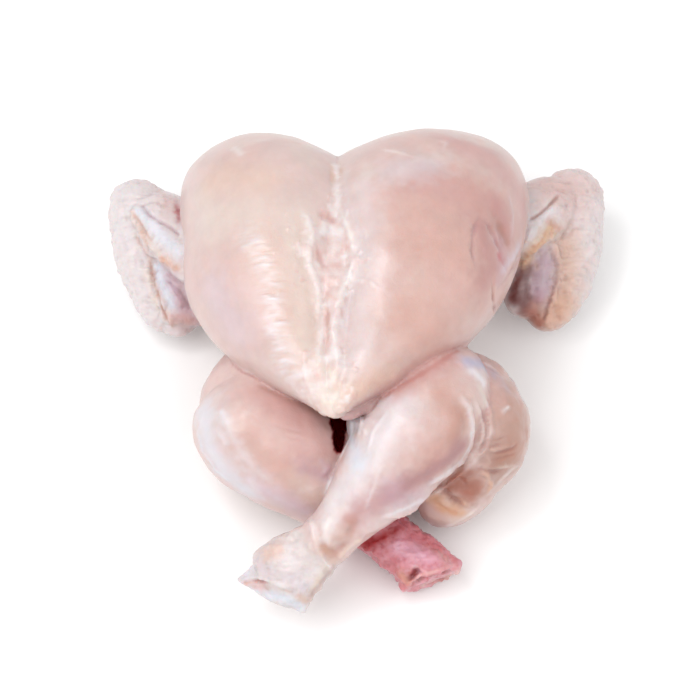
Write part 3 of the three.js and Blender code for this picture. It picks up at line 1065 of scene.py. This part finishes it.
class Shading:
    """Nodes of one material, made and wired in one call each."""

    def __init__(self, name):
        self.material = bpy.data.materials.new(name)
        self.material.use_nodes = True
        self.tree = self.material.node_tree
        self.shader = self.tree.nodes["Principled BSDF"]

    def feed(self, socket, value):
        """Links the socket to the value where that is another socket, and else sets it."""
        if isinstance(value, bpy.types.NodeSocket):
            self.tree.links.new(value, socket)
        else:
            socket.default_value = value

    def set(self, node, **inputs):
        for name, value in inputs.items():
            self.feed(node.inputs[name.replace("_", " ")], value)
        return node

    def node(self, kind, **inputs):
        return self.set(self.tree.nodes.new("ShaderNode" + kind), **inputs)

    def add(self, kind, output, **inputs):
        return self.node(kind, **inputs).outputs[output]

    def maths(self, operation, a, b):
        node = self.node("Math")
        node.operation = operation
        self.feed(node.inputs[0], a)
        self.feed(node.inputs[1], b)
        return node.outputs[0]

    def attribute(self, name):
        node = self.node("Attribute")
        node.attribute_name = name
        return node.outputs["Color"]

    def between(self, value, low, high, start, end):
        """`value` from low to high, as a number from start to end."""
        return self.add("MapRange", "Result", Value=value,
                        From_Min=low, From_Max=high, To_Min=start, To_Max=end)


def flesh_material():
    shade = Shading("flesh")
    place = shade.add("TexCoord", "Object")
    mottle = shade.add("TexNoise", "Fac", Vector=place, Scale=110.0, Detail=5.0, Roughness=0.6)
    feel = shade.node("SeparateColor", Color=shade.attribute("feel"))
    skin, fat, torn = feel.outputs["Red"], feel.outputs["Green"], feel.outputs["Blue"]

    follicles = shade.add("TexVoronoi", "Distance", Vector=place, Scale=330.0)
    dots = shade.maths("MULTIPLY", shade.between(follicles, 0.0, 0.35, 0.09, 0.0), skin)
    tint = shade.maths("SUBTRACT", shade.between(mottle, 0.3, 0.7, 0.94, 1.04), dots)
    tone = shade.node("VectorMath")
    tone.operation = "SCALE"
    shade.set(tone, Vector=shade.attribute("tone"), Scale=tint)

    bumps = shade.maths("MULTIPLY", shade.between(follicles, 0.1, 0.6, 0.9, 0.0), skin)
    grain = shade.add("TexNoise", "Fac", Vector=place, Scale=620.0, Detail=3.0)
    grainy = shade.maths("ADD", shade.maths("MULTIPLY", fat, 0.4), shade.maths("MULTIPLY", torn, 1.2))
    film = shade.add("TexNoise", "Fac", Vector=place, Scale=200.0, Detail=6.0, Roughness=0.65, Distortion=1.0)
    height = shade.maths("ADD", bumps, shade.maths("MULTIPLY", grain, grainy))
    height = shade.maths("ADD", height, shade.maths("MULTIPLY", film, 0.5))
    bump = shade.add("Bump", "Normal", Height=height, Distance=0.0006, Strength=0.7)

    rough = shade.between(mottle, 0.3, 0.7, 0.34, 0.46)
    rough = shade.maths("ADD", rough, shade.maths("MULTIPLY", skin, 0.14))
    shade.set(shade.shader, Base_Color=tone.outputs["Vector"], Roughness=rough, Normal=bump)
    shade.set(shade.shader, Subsurface_Weight=0.3, Subsurface_Radius=(1.0, 0.35, 0.2), Subsurface_Scale=0.005)
    shade.set(shade.shader, Coat_Weight=0.35, Coat_Roughness=0.2)
    return shade.material


# ---- stage

# Metres, degrees and watts here. A softbox is (azimuth, elevation, distance, side, power).
FLOOR_HALF = 3.0
FLOOR_WHITE = 0.97
WORLD_LIGHT = 0.78
SOFTBOXES = {
    "key": (-60, 62, 1.2, 0.9, 6.5),
    "fill": (50, 50, 1.5, 1.0, 4),
    "glint": (-95, 72, 1.2, 0.22, 1),
}
AIM = Vector((0, 0, 0.05))


def floor():
    mesh = bpy.data.meshes.new("floor")
    corners = [(x * FLOOR_HALF, y * FLOOR_HALF, 0) for x, y in ((-1, -1), (1, -1), (1, 1), (-1, 1))]
    mesh.from_pydata(corners, [], [(0, 1, 2, 3)])
    material = bpy.data.materials.new("floor")
    material.use_nodes = True
    shader = material.node_tree.nodes["Principled BSDF"]
    shader.inputs["Base Color"].default_value = (FLOOR_WHITE, FLOOR_WHITE, FLOOR_WHITE, 1)
    shader.inputs["Roughness"].default_value = 0.9
    mesh.materials.append(material)
    placed(mesh)


def softbox(name, azimuth, elevation, distance, side, power):
    """A square light that looks at the bird."""
    data = bpy.data.lights.new(name, "AREA")
    data.shape, data.size, data.energy = "SQUARE", side, power
    obj = placed(data)
    a, e = math.radians(azimuth), math.radians(elevation)
    way = Vector((math.sin(a) * math.cos(e), -math.cos(a) * math.cos(e), math.sin(e)))
    obj.location = way * distance + AIM
    obj.rotation_euler = way.to_track_quat("Z", "Y").to_euler()


def studio():
    world = bpy.data.worlds.new("studio")
    bpy.context.scene.world = world
    world.use_nodes = True
    background = world.node_tree.nodes["Background"]
    background.inputs["Color"].default_value = (1, 1, 1, 1)
    background.inputs["Strength"].default_value = WORLD_LIGHT
    for name, settings in SOFTBOXES.items():
        softbox(name, *settings)
    bpy.context.scene.view_settings.view_transform = "Standard"


def camera():
    data = bpy.data.cameras.new("camera")
    data.sensor_width = SENSOR_MM
    data.lens = data.sensor_width * DISTANCE / (PICTURE * PIXEL_MM)
    obj = placed(data)
    obj.location = (TARGET + BACK * DISTANCE) * MM
    obj.rotation_euler = Vector(BACK).to_track_quat("Z", "Y").to_euler()
    bpy.context.scene.camera = obj


def to_metres(skin):
    skin.points *= MM
    skin.write()


bird = build()
paint(bird)
to_metres(bird)
bird.obj.name = "bird"
bird.obj.data.shade_smooth()
bird.obj.data.materials.clear()  # the joining leaves an empty slot
bird.obj.data.materials.append(flesh_material())
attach(bird.obj, "root")
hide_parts("chicken")

camera()
studio()
floor()
